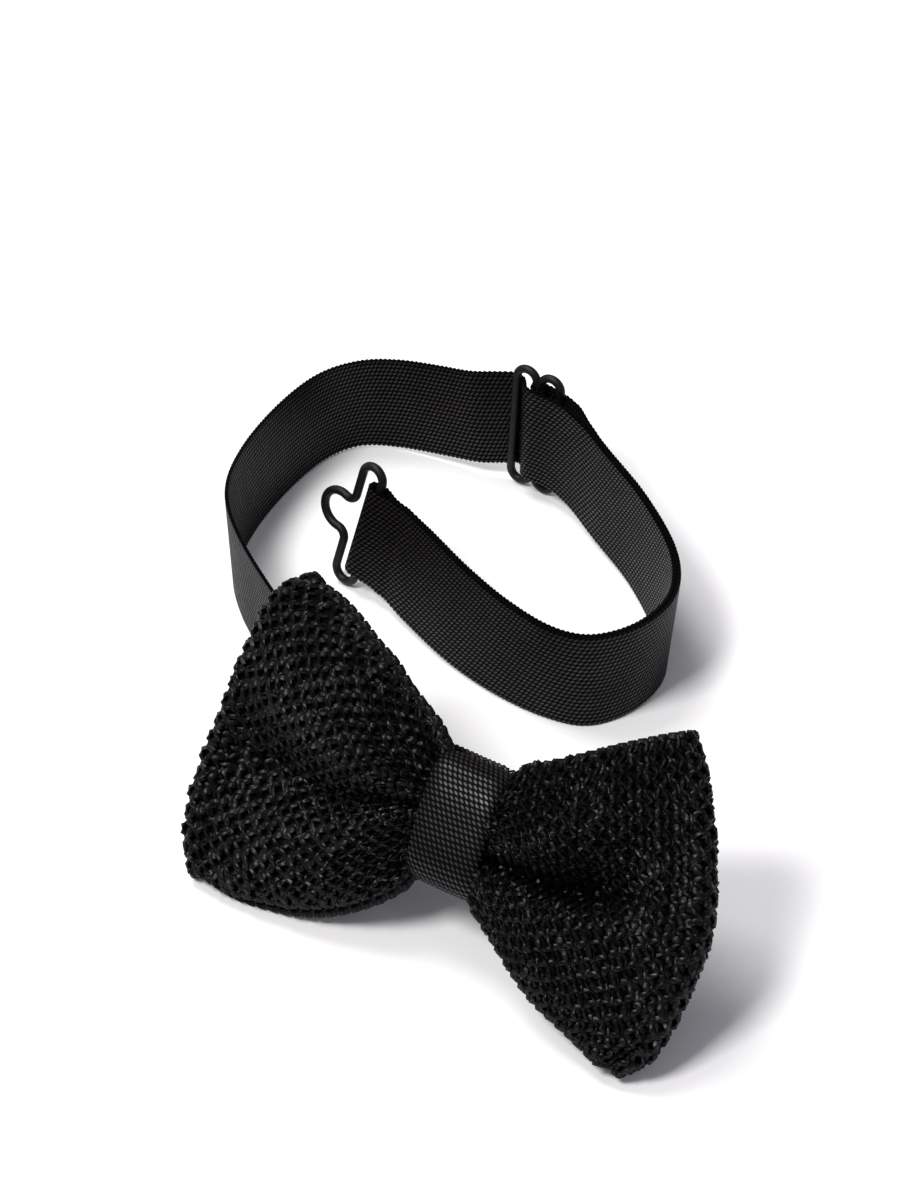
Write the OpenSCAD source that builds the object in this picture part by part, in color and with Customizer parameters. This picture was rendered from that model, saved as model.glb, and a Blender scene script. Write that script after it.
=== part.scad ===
// Pre-tied knitted bow tie on an adjustable neck tape with a wire hook and eye.
// Millimetres, +Z up, standing on z = 0. The bow faces -Y and its width runs along X.

/* [Bow] */
// Half width of the bow at its corners
bow_half = 51; // [46:1:54]
// How far each outer edge bows out past its corners
side_swell = 7; // [3:0.5:9]
// Half height of the bow at its outer corners
wing_half = 33.3; // [30:0.5:33.5]
// How far the right wing's top corner is drawn in
corner_in = 9.5; // [0:0.5:12]
// Lean of the bow's plane, from the table up
bow_lean = 47; // [46:0.5:48]
// Thickness of a wing at its outer edge
edge_thick = 6; // [4:0.5:6]
// How far the lobes stand out of the bow's plane
lobe_rise = 6.5; // [4:0.5:8]

/* [Knot] */
// Width of the knot, along X
knot_w = 16.5; // [14:0.5:18]
// Height of the knot
knot_h = 26.5; // [25:0.5:28]
// Thickness of the knot, front to back
knot_t = 17; // [16:0.5:17]

/* [Neck tape] */
// Width of the tape
tape_w = 25; // [22:0.5:25]
// Thickness of the tape
tape_t = 1; // [0.8:0.1:1]
// Half of the gap left at each bend
bend_gap = 0.6; // [0.6:0.1:1]

/* [Wire fittings] */
// Radius of the coated wire
wire_r = 1; // [0.8:0.05:1]
// Running clearance round a bar
run_gap = 0.06; // [0.03:0.01:0.1]

/* [Hidden] */
$fn = 48;

knit_black = [0.07, 0.065, 0.07];
tape_black = [0.1, 0.09, 0.095];
wire_black = [0.03, 0.03, 0.035];
thread_black = [0.05, 0.05, 0.055];

fit = 0.05;
bow_at = [26.5, -51.7, 26];
knot_at = [2.4, -2, 0];

// The neck tape's middle line: x, y, z and the lean of its width from upright, positive outward
ROUTE = [[28.4, -45.4, 18.8, -43], [19, -45.4, 18.8, -43], [-3.5, -42.5, 16.8, -33],
         [-24.5, -31.5, 14.2, -16], [-45.5, -14.5, 12.6, 0], [-63.5, -2, 12.6, 1],
         [-74.5, 9.5, 12.6, 2], [-80, 23.5, 12.6, 3], [-82.5, 40.5, 12.6, 3],
         [-82, 55.5, 12.6, 2], [-77.5, 65, 12.8, 0], [-68.5, 69.8, 13.5, 2],
         [-54, 72.2, 15, 3], [-40, 73.6, 16.7, 3], [-29.5, 73.4, 16.7, 3],
         [-19.5, 70.1, 15.6, 3], [-9.5, 64.8, 14, 4], [5.5, 55.8, 13, 4],
         [19.5, 43.5, 12.6, 5], [26.5, 31.5, 12.6, 4], [26.2, 19.5, 12.6, 3],
         [20.5, 10, 12.6, 1], [11.5, 7.1, 12.6, 0], [-1.5, 8.5, 12.6, -5],
         [-15.5, 12.5, 12.8, -10], [-29.5, 18, 13.7, -12], [-36, 20.4, 14.7, -10],
         [-39.6, 21.1, 15.4, -9]];
TAB = [[29.4, -45.4, 18.8, 43], [37, -45.4, 18.8, 43], [44, -44.6, 18.6, 38],
       [49, -42.7, 18, 32], [53, -40.7, 17.7, 29]];

// Control points of ROUTE at which the tape bends, and the one of TAB
bends = [4, 10, 17, 19, 21];
tab_bend = 2;

// Place of the adjuster along ROUTE
adjuster_u = 13.6;
// Sideways path of the threaded tape: distance along the adjuster and offset
WEAVE = [[-20.2, -0.1], [-15, 0], [-10, 1.6], [-6.3, 3], [-4.2, 2.3], [-3.2, 0.8], [-2.2, -0.9],
         [0, -1.9], [3, -1.7], [6, -1.2], [10, -0.7], [14, -0.55]];
adjuster_off = 1;
bar_pitch = 6;
// Height of the adjuster's arches over its middle
arch_z = 12.9;
arch_r = 2.7;
layer_off = tape_t / 2 + fit;
// Where the returning layer leaves the adjuster
lead_x = 9.2;
// How far the sewn end stops short of it
end_gap = 1;

// The hook, measured from its bar: ears, outer run, and the round middle lobe
ear_r = 2.9;
ear_z = 13.6;
run_x = 2 * ear_r;
lobe_r = 4.6;
lobe_x = 9.1;
neck_r = 2.2;
// How far the fold reaches past the bar, and back to the open tape
fold_nose = 3.2;
fold_back = 6;

// The eye: its depth, half height and corner radius
eye_out = 8.5;
eye_half = 13.5;
eye_corner = 2.6;
// The tab's fold round the eye
tab_nose = 2.2;
tab_back = 3.4;

// Sewing: thread radius, half height of a row and its pitch on wide and narrow tacks
stitch_r = 0.3;
row_half = 10;
row_step = 2;
hem_step = 2.5;
// Place of the row that holds a tape's end behind the knot
root_row = 0.35;

// Wings: heights of their roots, how their edges open out, and how their lobes rise
root_top = 12.3;
root_bottom = [17, 15.5];
top_flare = 0.6;
bottom_curl = 3.5;
wing_off = 1;
lobe_round = 0.8;
rise_from = 20;
rise_turn = 150;
back_swell = 2.5;

// The knot's wrap and what lies inside it
wrap_wall = 1.2;
wrap_r = 6.5;
core_gap = 1.2;
core_r = 5;
thread_w = 4;
thread_wall = 0.9;

// ---- curves -----------------------------------------------------------------
function unit(v) = v / norm(v);
function place(v) = [v[0], v[1], v[2]];
function point_of(P, i) = i < 0 ? 2 * P[0] - P[1] :
    i > len(P) - 1 ? 2 * P[len(P) - 1] - P[len(P) - 2] : P[i];
function spline(a, b, c, d, t) = 0.5 * (2 * b + (c - a) * t
    + (2 * a - 5 * b + 4 * c - d) * t * t + (3 * b - a - 3 * c + d) * t * t * t);
function along(P, u) = let(i = max(0, min(floor(u), len(P) - 2)))
    spline(point_of(P, i - 1), point_of(P, i), point_of(P, i + 1), point_of(P, i + 2), u - i);
function heading(P, u, h = 0.01) =
    unit(place(along(P, min(u + h, len(P) - 1))) - place(along(P, max(u - h, 0))));
function left_of(T) = unit([-T[1], T[0], 0]);
function width_way(T, lean) = cos(lean) * cross(T, left_of(T)) + sin(lean) * left_of(T);
// The place on P that lies d past control point i
function past(P, i, d) = i + d / norm(place(point_of(P, i + sign(d))) - place(P[i]));

// ---- tape -------------------------------------------------------------------
// A section of the tape, moved sideways by off
function tape_ring(P, u, off) = let(
    p = along(P, u),
    T = heading(P, u),
    W = width_way(T, p[3]) * tape_w / 2,
    N = unit(cross(W, T)),
    c = place(p) + off * N,
    H = N * tape_t / 2)
    [c - W - H, c - W + H, c + W + H, c + W - H];

// A closed skin over rings of points whose two halves face each other
module skin(rings) {
    m = len(rings[0]);
    n = len(rings);
    points = [for (r = rings) for (p = r) p];
    sides = [for (i = [0 : n - 2]) for (j = [0 : m - 1]) let(
        k = (j + 1) % m,
        a = i * m + j,
        b = i * m + k,
        c = a + m,
        d = b + m)
        each j < m / 2 ? [[a, d, b], [a, c, d]] : [[a, c, b], [b, c, d]]];
    far = (n - 1) * m;
    caps = [for (j = [0 : m / 2 - 2]) let(k = m - 1 - j)
        each [[j, j + 1, k - 1], [j, k - 1, k], [far + j, far + k - 1, far + j + 1],
              [far + j, far + k, far + k - 1]]];
    polyhedron(points, concat(sides, caps), convexity = 6);
}

// A stretch of tape from u0 to u1 along P
module stretch(P, u0, u1, off = 0) {
    steps = max(2, ceil((u1 - u0) * 3));
    color(tape_black)
        skin([for (k = [0 : steps]) tape_ring(P, u0 + (u1 - u0) * k / steps, off)]);
}

// The place on ROUTE at distance x from the adjuster's middle
function step_at(i) = norm(place(ROUTE[i + 1]) - place(ROUTE[i]));
function near_adjuster(x) = let(i = floor(adjuster_u), before = (adjuster_u - i) * step_at(i))
    x < -before ? i + (x + before) / step_at(i - 1) :
    x < step_at(i) - before ? adjuster_u + x / step_at(i) :
    i + 1 + (x + before - step_at(i)) / step_at(i + 1);
// A point at place u of ROUTE, moved outward by off
function beside(u, off) = let(
    p = along(ROUTE, u),
    T = heading(ROUTE, u),
    c = place(p) + off * unit(cross(width_way(T, p[3]), T)))
    [c[0], c[1], c[2], p[3]];
function beside_all(shape) = [for (q = shape) beside(near_adjuster(q[0]), q[1])];

// Local frame at place u of P: x along the tape, y outward, z across its width
module at(P, u) {
    p = along(P, u);
    T = heading(P, u);
    translate(place(p))
        rotate([-p[3], -asin(T[2]), atan2(T[1], T[0])])
            children();
}

module in_bow() {
    translate(bow_at)
        rotate([bow_lean, 0, 0])
            children();
}

// ---- bow --------------------------------------------------------------------
root_gap = knot_w / 2 + fit;
front_at = [for (k = [0 : 12]) k / 12];
back_at = [for (k = [12 : -1 : 0]) k / 12];

function wing_root(side) = root_gap + side * knot_at[0];
// Height of the wing's top and bottom edges at share s of the way out
function top_v(s) =
    root_top + (wing_half - root_top) * (top_flare * s + (1 - top_flare) * sin(90 * s));
function bottom_v(s, side) = let(root = side > 0 ? root_bottom[1] : root_bottom[0])
    -root - (wing_half - root) * (side > 0 ? sin(90 * s) : 1 - pow(1 - s, bottom_curl));
function lobes(t) = pow(abs(sin(360 * t)), lobe_round);
function rise(s) = sin(rise_from + rise_turn * s);
function wing_point(side, s, t, front) = let(
    inset = side > 0 ? corner_in : 0,
    low = wing_root(side) + (bow_half - wing_root(side)) * s,
    high = wing_root(side) + (bow_half - inset - wing_root(side)) * s,
    u = low + (high - low) * t + (side_swell + inset / 4) * 4 * t * (1 - t) * s * s,
    v = bottom_v(s, side) + (top_v(s) - bottom_v(s, side)) * t,
    n = wing_off + (front ? edge_thick / 2 + lobe_rise * lobes(t) * rise(s) :
        -edge_thick / 2 - back_swell * sin(180 * t) * rise(s)))
    [side * u, v, n];
function wing_ring(side, s) = concat([for (t = front_at) wing_point(side, s, t, true)],
    [for (t = back_at) wing_point(side, s, t, false)]);

module wing(side) {
    shares = [for (k = [0 : 10]) side < 0 ? k / 10 : 1 - k / 10];
    color(knit_black)
        in_bow()
            skin([for (s = shares) wing_ring(side, s)]);
}

module left_wing() {
    wing(-1);
}

module right_wing() {
    wing(1);
}

module rounded(w, h, r) {
    square([w - 2 * r, h], center = true);
    square([w, h - 2 * r], center = true);
    for (x = [-1, 1])
        for (y = [-1, 1])
            translate([x * (w / 2 - r), y * (h / 2 - r)])
                circle(r);
}

// A band round the bow's waist: width along X, height, thickness, corner radius and wall
module waist_band(w, h, t, r, wall) {
    in_bow()
        translate(knot_at)
            rotate([90, 0, 90])
                translate([0, 0, -w / 2])
                    linear_extrude(w)
                        difference() {
                            rounded(h, t, r);
                            if (wall > 0)
                                rounded(h - 2 * wall, t - 2 * wall, r - wall);
                        }
}

waist_h = knot_h - 2 * (wrap_wall + core_gap);
waist_t = knot_t - 2 * (wrap_wall + core_gap);

module gathered_waist() {
    color(knit_black)
        waist_band(knot_w, waist_h, waist_t, core_r, 0);
}

module waist_thread() {
    color(thread_black)
        waist_band(thread_w, waist_h + 2 * (thread_wall + fit), waist_t + 2 * (thread_wall + fit),
            core_r + thread_wall + fit, thread_wall);
}

module knot_wrap() {
    color(tape_black)
        waist_band(knot_w, knot_h, knot_t, wrap_r, wrap_wall);
}

module stitch(length) {
    rotate([0, 90, 0])
        cylinder(r = stitch_r, h = length, center = true);
}

// Ladder stitches that close the wrap behind the knot, beside the tapes
module wrap_seam() {
    color(thread_black)
        in_bow()
            translate(knot_at + [0, knot_h / 2 + stitch_r + fit, -2])
                for (k = [-3 : 3])
                    translate([k * 2, 0, 0])
                        stitch(1.3);
}

// ---- neck tape --------------------------------------------------------------
module neck_tape_root() {
    stretch(ROUTE, 0, past(ROUTE, bends[0], -bend_gap));
}

// Rows of stitches that hold a tape end, on its face away from the knot
module tack(P, u, side) {
    color(thread_black)
        at(P, u)
            for (z = [-row_half : row_step : row_half])
                translate([0, side * (tape_t / 2 + stitch_r + fit), z])
                    stitch(3);
}

module root_tack() {
    tack(ROUTE, root_row, -1);
}

module neck_tape_left() {
    stretch(ROUTE, past(ROUTE, bends[0], bend_gap), past(ROUTE, bends[1], -bend_gap));
}

module neck_tape_back() {
    stretch(ROUTE, past(ROUTE, bends[1], bend_gap), near_adjuster(WEAVE[0][0] - 3 * fit));
}

module tape_in_adjuster() {
    stretch(beside_all(WEAVE), 0, len(WEAVE) - 1);
}

after_weave = near_adjuster(WEAVE[len(WEAVE) - 1][0] + 3 * fit);

module neck_tape_corner() {
    stretch(ROUTE, after_weave, past(ROUTE, bends[2], -bend_gap), -layer_off);
}

module neck_tape_right() {
    stretch(ROUTE, past(ROUTE, bends[2], bend_gap), past(ROUTE, bends[3], -bend_gap), -layer_off);
}

module neck_tape_near() {
    stretch(ROUTE, past(ROUTE, bends[3], bend_gap), past(ROUTE, bends[4], -bend_gap), -layer_off);
}

module neck_tape_front() {
    stretch(ROUTE, past(ROUTE, bends[4], bend_gap), len(ROUTE) - 1, -layer_off);
}

// The return layer comes in from its sewn end and closes up to the main layer
LEAD = [[lead_x, 2.55], [12, 1.9], [15, 1.1], [18.5, 0.7]];

module return_tape_corner() {
    closed = [15.7, 16.2, 16.6, past(ROUTE, bends[2], -bend_gap)];
    path = concat(beside_all(LEAD), [for (u = closed) beside(u, layer_off)]);
    stretch(path, 0, len(path) - 1);
}

module return_tape_right() {
    stretch(ROUTE, past(ROUTE, bends[2], bend_gap), past(ROUTE, bends[3], -bend_gap), layer_off);
}

module return_tape_near() {
    stretch(ROUTE, past(ROUTE, bends[3], bend_gap), past(ROUTE, bends[4], -bend_gap), layer_off);
}

module return_tape_front() {
    stretch(ROUTE, past(ROUTE, bends[4], bend_gap), len(ROUTE) - 1, layer_off);
}

// ---- wire fittings ----------------------------------------------------------
// An arc of wire in the xz plane round [x, z], from angle a over turn degrees
module wire_arc(x, z, r, a, turn) {
    translate([x, 0, z])
        rotate([90, 0, 0])
            rotate([0, 0, a])
                rotate_extrude(angle = turn)
                    translate([r, 0])
                        circle(wire_r);
}

module upright(x, z0, z1) {
    translate([x, 0, z0])
        cylinder(r = wire_r, h = z1 - z0);
}

// Folded end of a tape round a bar at the origin, running back to x = -back
module fold(nose, back) {
    half = tape_t + fit;
    bore = wire_r + run_gap;
    translate([0, 0, -tape_w / 2])
        linear_extrude(tape_w)
            difference() {
                union() {
                    translate([-back, -half])
                        square([back + nose - half, 2 * half]);
                    translate([nose - half, 0])
                        circle(half);
                    circle(bore + tape_t);
                }
                circle(bore);
            }
}

module at_hook() {
    at(ROUTE, len(ROUTE) - 1)
        translate([fold_back + fit, 0, 0])
            children();
}

module hook_fold() {
    color(tape_black)
        at_hook()
            fold(fold_nose, fold_back);
}

module hook_tack() {
    color(thread_black)
        at_hook()
            for (z = [-row_half : hem_step : row_half])
                translate([-4, tape_t + 2 * fit + stitch_r, z])
                    stitch(2);
}

module hook() {
    neck_x = run_x + neck_r;
    neck_z = sqrt(pow(lobe_r + neck_r, 2) - pow(lobe_x - neck_x, 2));
    tilt = atan2(neck_z, neck_x - lobe_x);
    color(wire_black)
        at_hook() {
            upright(0, -ear_z, ear_z);
            wire_arc(lobe_x, 0, lobe_r, -tilt, 2 * tilt);
            for (side = [0, 1])
                mirror([0, 0, side]) {
                    wire_arc(ear_r, ear_z, ear_r, 0, 180);
                    upright(run_x, neck_z, ear_z);
                    wire_arc(neck_x, neck_z, neck_r, 180, tilt);
                }
        }
}

// ---- adjuster ---------------------------------------------------------------
module at_adjuster() {
    at(ROUTE, adjuster_u)
        translate([0, adjuster_off, 0])
            children();
}

module adjuster() {
    color(wire_black)
        at_adjuster() {
            for (x = [-bar_pitch, 0, bar_pitch])
                upright(x, -arch_z, arch_z);
            for (side = [0, 1])
                mirror([0, 0, side])
                    for (x = [-1, 1])
                        wire_arc(x * (bar_pitch - arch_r), arch_z, arch_r, 0, 180);
        }
}

// The tape's sewn end: a ring round the middle bar and a tab along the outside
module return_end() {
    bore = wire_r + run_gap;
    color(tape_black)
        at_adjuster()
            translate([0, 0, -tape_w / 2])
                linear_extrude(tape_w)
                    difference() {
                        union() {
                            circle(bore + tape_t);
                            translate([0, bore])
                                square([lead_x - end_gap, tape_t]);
                        }
                        circle(bore);
                    }
}

module return_tack() {
    color(thread_black)
        at_adjuster()
            for (z = [-row_half : hem_step : row_half])
                translate([3.2, wire_r + run_gap + tape_t + stitch_r + fit, z])
                    stitch(2);
}

// ---- eye side ---------------------------------------------------------------
module tab_tape_root() {
    stretch(TAB, 0, past(TAB, tab_bend, -bend_gap));
}

module tab_tack() {
    tack(TAB, root_row, 1);
}

module tab_tape_end() {
    stretch(TAB, past(TAB, tab_bend, bend_gap), len(TAB) - 1);
}

module at_eye() {
    at(TAB, len(TAB) - 1)
        translate([tab_back + fit, 0, 0])
            children();
}

module tab_fold() {
    color(tape_black)
        at_eye()
            fold(tab_nose, tab_back);
}

module eye_tack() {
    color(thread_black)
        at_eye()
            for (z = [-row_half : hem_step : row_half])
                translate([-2.6, tape_t + 2 * fit + stitch_r + 0.1, z])
                    stitch(1.2);
}

module eye() {
    color(wire_black)
        at_eye() {
            for (x = [0, eye_out])
                upright(x, -eye_half, eye_half);
            for (side = [0, 1])
                mirror([0, 0, side]) {
                    wire_arc(eye_corner, eye_half, eye_corner, 90, 90);
                    wire_arc(eye_out - eye_corner, eye_half, eye_corner, 0, 90);
                    translate([eye_corner, 0, eye_half + eye_corner])
                        rotate([0, 90, 0])
                            cylinder(r = wire_r, h = eye_out - 2 * eye_corner);
                }
        }
}

left_wing();
right_wing();
gathered_waist();
waist_thread();
knot_wrap();
wrap_seam();
neck_tape_root();
root_tack();
neck_tape_left();
neck_tape_back();
tape_in_adjuster();
neck_tape_corner();
neck_tape_right();
neck_tape_near();
neck_tape_front();
return_tape_corner();
return_tape_right();
return_tape_near();
return_tape_front();
hook_fold();
hook_tack();
hook();
adjuster();
return_end();
return_tack();
tab_tape_root();
tab_tack();
tab_tape_end();
tab_fold();
eye_tack();
eye();
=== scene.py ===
"""Knitted bow tie on its neck tape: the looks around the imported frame."""

import math

import bmesh
import bpy
import numpy as np
from bpy.props import FloatProperty, FloatVectorProperty, IntProperty, PointerProperty
from mathutils import Matrix, Vector


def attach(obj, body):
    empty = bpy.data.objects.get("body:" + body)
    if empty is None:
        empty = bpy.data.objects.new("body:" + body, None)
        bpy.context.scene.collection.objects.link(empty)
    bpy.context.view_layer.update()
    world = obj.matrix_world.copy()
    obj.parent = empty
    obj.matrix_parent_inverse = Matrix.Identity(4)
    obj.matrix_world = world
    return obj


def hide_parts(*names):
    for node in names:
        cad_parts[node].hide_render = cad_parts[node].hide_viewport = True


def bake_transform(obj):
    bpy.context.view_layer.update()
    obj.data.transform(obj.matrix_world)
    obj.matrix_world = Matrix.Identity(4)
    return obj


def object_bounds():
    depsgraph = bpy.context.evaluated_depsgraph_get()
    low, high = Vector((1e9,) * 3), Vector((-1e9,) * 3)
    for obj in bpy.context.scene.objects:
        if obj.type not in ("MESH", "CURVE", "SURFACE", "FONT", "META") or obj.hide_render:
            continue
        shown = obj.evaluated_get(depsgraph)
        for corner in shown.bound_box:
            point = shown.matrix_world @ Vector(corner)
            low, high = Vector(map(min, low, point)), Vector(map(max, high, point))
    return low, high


bl_info = {
    "name": "Knitted Bow Tie",
    "version": (1, 0, 0),
    "blender": (4, 5, 0),
    "location": "View3D > Sidebar > Bow Tie",
    "description": "Builds a knitted bow tie with its neck tape, wire fittings and sewing",
    "category": "Add Mesh",
}

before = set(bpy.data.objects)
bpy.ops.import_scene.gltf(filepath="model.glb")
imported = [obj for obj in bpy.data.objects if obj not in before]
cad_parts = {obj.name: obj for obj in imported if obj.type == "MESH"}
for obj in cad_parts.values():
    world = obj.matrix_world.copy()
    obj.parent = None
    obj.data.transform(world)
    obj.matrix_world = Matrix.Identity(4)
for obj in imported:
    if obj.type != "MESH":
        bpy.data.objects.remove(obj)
cad_low, cad_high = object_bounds()

MM = 0.001

# ---- the tape's route and the bow's outlines, in millimetres ----------------
# x, y, z of the tape's middle and the lean of its width from upright
ROUTE = np.array([
    [28.4, -45.4, 18.8, -43], [19, -45.4, 18.8, -43], [-3.5, -42.5, 16.8, -33],
    [-24.5, -31.5, 14.2, -16], [-45.5, -14.5, 12.6, 0], [-63.5, -2, 12.6, 1],
    [-74.5, 9.5, 12.6, 2], [-80, 23.5, 12.6, 3], [-82.5, 40.5, 12.6, 3],
    [-82, 55.5, 12.6, 2], [-77.5, 65, 12.8, 0], [-68.5, 69.8, 13.5, 2],
    [-54, 72.2, 15, 3], [-40, 73.6, 16.7, 3], [-29.5, 73.4, 16.7, 3],
    [-19.5, 70.1, 15.6, 3], [-9.5, 64.8, 14, 4], [5.5, 55.8, 13, 4],
    [19.5, 43.5, 12.6, 5], [26.5, 31.5, 12.6, 4], [26.2, 19.5, 12.6, 3],
    [20.5, 10, 12.6, 1], [11.5, 7.1, 12.6, 0], [-1.5, 8.5, 12.6, -5],
    [-15.5, 12.5, 12.8, -10], [-29.5, 18, 13.7, -12], [-36, 20.4, 14.7, -10],
    [-39.6, 21.1, 15.4, -9]])
TAB = np.array([[29.4, -45.4, 18.8, 43], [37, -45.4, 18.8, 43], [44, -44.6, 18.6, 38],
                [49, -42.7, 18, 32], [53, -40.7, 17.7, 29]])
# The adjuster's place on ROUTE, its offset outward, and the offset of each doubled layer
ADJUSTER_U = 13.6
ADJUSTER_OFF = 1
LAYER_OFF = 0.55
# Radius of the tape's middle round a bar
BAR_WRAP = 1.56
# Distance along the adjuster and offset of the threaded tape and of the returning layer
WEAVE = np.array([[-20.2, -0.1], [-15, 0], [-10, 1.6], [-6.3, 3], [-4.2, 2.3], [-3.2, 0.8],
                  [-2.2, -0.9], [0, -1.9], [3, -1.7], [6, -1.2], [10, -0.7], [14, -0.55]])
LEAD = np.array([[18.5, 0.7], [15, 1.1], [12, 1.9], [9.2, 2.55], [4, 2.56]])
# Round a bar: along the tape and outward, from the fold's middle
HOOK_FOLD = np.array([[-6.05, -0.55], [-3.6, -0.7], [-1.6, -1.35], [0, -1.56], [1.5, -1.4],
                      [2.45, -0.75], [2.7, 0], [2.45, 0.75], [1.5, 1.4], [0, 1.56],
                      [-1.6, 1.35], [-3.6, 0.7], [-6.05, 0.55]])
# From the open tape to the middle of each fold
HOOK_BACK = 6.05
TAB_BACK = 3.45
TAB_FOLD = np.array([[-3.45, 0], [-2.2, -0.35], [-1.2, -1.2], [0, -1.56], [1.1, -1.1],
                     [1.6, 0], [1.1, 1.1], [0, 1.56], [-1.2, 1.25], [-2.6, 0.98], [-3.3, 0.95]])
# Place of the hook's fold on ROUTE; the returning layer's keys run back from RETURN_FROM
FOLD_END = 27
RETURN_FROM = 55

# Origin and lean of the bow's plane, and the knot's middle in it
BOW_AT = np.array([26.5, -51.7, 26])
BOW_LEAN = math.radians(47)
KNOT_AT = np.array([1.9, -2.0, 0.0])

# Outlines of the wings in the bow's plane: along its width, and up the plane
OUTLINES = {
    "left": {
        "bottom": [(-1, -10.5), (-4, -14.5), (-6, -18), (-9.8, -21.9), (-15.2, -26), (-21.1, -29.2),
                   (-27.4, -31.4), (-34.1, -32.9), (-40.9, -34.2), (-46.3, -34.3), (-51.4, -33.7)],
        "top": [(-2.5, 7.2), (-6.4, 10.4), (-10.9, 14.6), (-16, 17.4), (-21, 19.9), (-26.1, 23.2),
                (-32, 25.7), (-38.5, 29), (-44.5, 31.4), (-50.6, 33)],
        "outer": [(-51.4, -33.7), (-54.6, -27.7), (-56.8, -19.8), (-57.8, -11.4), (-58.2, -2.8),
                  (-58, 7.4), (-57.1, 15.1), (-55.6, 26.6), (-50.6, 33)],
    },
    "right": {
        "bottom": [(4, -10.5), (7.6, -13.6), (11.6, -17.2), (16.7, -20.4), (23, -24.5),
                   (29, -27.8), (34.4, -29.7), (39.6, -31.3), (44.6, -33), (48.2, -34.3),
                   (51.4, -33.7)],
        "top": [(5, 7.2), (7.6, 10.8), (10.4, 15), (14.3, 16.9), (21.4, 21.6), (28.4, 26.2),
                (35.4, 30.3), (40.2, 32.7)],
        "outer": [(51.4, -33.7), (55.1, -28.3), (56.1, -23.9), (56.5, -19.7), (56.9, -11.2),
                  (56.7, -3.1), (54.8, 4.3), (52, 11.4), (48.8, 18.3), (45, 24.9), (40.2, 32.7)],
    },
}
# Share of the way out, then the crease's depth, its place up the wing and its width
CREASES = {
    "left": [(0, 2.5, 0.55, 0.09), (0.12, 5.4, 0.53, 0.07), (0.3, 7, 0.47, 0.08),
             (0.55, 9.6, 0.43, 0.12), (0.8, 10.6, 0.43, 0.15), (0.93, 6.5, 0.45, 0.19),
             (1, 2.4, 0.5, 0.24)],
    "right": [(0, 2.5, 0.3, 0.09), (0.12, 6, 0.33, 0.06), (0.35, 9.4, 0.395, 0.06),
              (0.55, 12, 0.45, 0.08), (0.7, 8.4, 0.5, 0.11), (0.85, 3, 0.58, 0.16),
              (1, 0.5, 0.65, 0.2)],
}
# How much wider a crease's wall is above its bottom and below it
WALLS = {"left": (0.8, 1.25), "right": (1.7, 0.75)}


# ---- settings ---------------------------------------------------------------
class KnitSettings(bpy.types.PropertyGroup):
    columns: IntProperty(name="Columns", description="Stitch columns from the knot to the edge",
                         default=25, min=12, max=30)
    rows: IntProperty(name="Rows", description="Stitch rows across a wing", default=35, min=16,
                      max=40)
    yarn_radius: FloatProperty(name="Yarn radius", description="Radius of the yarn in a stitch",
                               default=0.00058, min=0.0003, max=0.0009, unit="LENGTH",
                               precision=5)
    colour: FloatVectorProperty(name="Yarn", description="Colour of the yarn",
                                default=(0.0019, 0.0014, 0.0016), size=3, subtype="COLOR",
                                min=0, max=1)


class TapeSettings(bpy.types.PropertyGroup):
    width: FloatProperty(name="Width", description="Width of the neck tape", default=0.025,
                         min=0.02, max=0.026, unit="LENGTH")
    thickness: FloatProperty(name="Thickness", description="Thickness of one layer of tape",
                             default=0.00098, min=0.0006, max=0.001, unit="LENGTH", precision=5)
    rows: IntProperty(name="Rows", description="Woven rows across the tape", default=23,
                      min=12, max=30)
    # The raised floats take this colour as their painted highlight; the grooves take 3% of it as
    # painted shade.
    colour: FloatVectorProperty(name="Tape", description="Colour of the raised weave",
                                default=(0.0165, 0.0117, 0.013), size=3, subtype="COLOR",
                                min=0, max=1)


class FittingSettings(bpy.types.PropertyGroup):
    wire_colour: FloatVectorProperty(name="Wire coat", description="Colour of the coated wire",
                                     default=(0.0035, 0.0035, 0.0038), size=3, subtype="COLOR",
                                     min=0, max=1)
    thread_radius: FloatProperty(name="Thread radius", description="Radius of the sewing thread",
                                 default=0.00024, min=0.0001, max=0.0004, unit="LENGTH",
                                 precision=5)


class StageSettings(bpy.types.PropertyGroup):
    focal_length: FloatProperty(name="Focal length", description="Lens of the camera, in mm",
                                default=92.6, min=50, max=150)
    key_power: FloatProperty(name="Key power", description="Power of the large soft light",
                             default=15, min=0, max=60, unit="POWER")
    sky: FloatProperty(name="Surround", description="Brightness of the white surround",
                       default=0.34, min=0, max=3)


# ---- materials --------------------------------------------------------------
class Signal:
    """A socket whose arithmetic adds Math nodes."""

    def __init__(self, finish, socket):
        self.finish, self.socket = finish, socket

    def math(self, operation, *others, swapped=False):
        values = (*others, self) if swapped else (self, *others)
        return self.finish.add("ShaderNodeMath", {"operation": operation},
                               dict(enumerate(values)))

    def __add__(self, other):
        return self.math("ADD", other)

    def __sub__(self, other):
        return self.math("SUBTRACT", other)

    def __rsub__(self, other):
        return self.math("SUBTRACT", other, swapped=True)

    def __mul__(self, other):
        return self.math("MULTIPLY", other)

    def __truediv__(self, other):
        return self.math("DIVIDE", other)

    __radd__, __rmul__ = __add__, __mul__

    def between(self, low, high):
        """0 at low, 1 at high, smooth between."""
        return self.finish.add("ShaderNodeMapRange", {"interpolation_type": "SMOOTHSTEP"},
                               {"Value": self, "From Min": low, "From Max": high})


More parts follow.
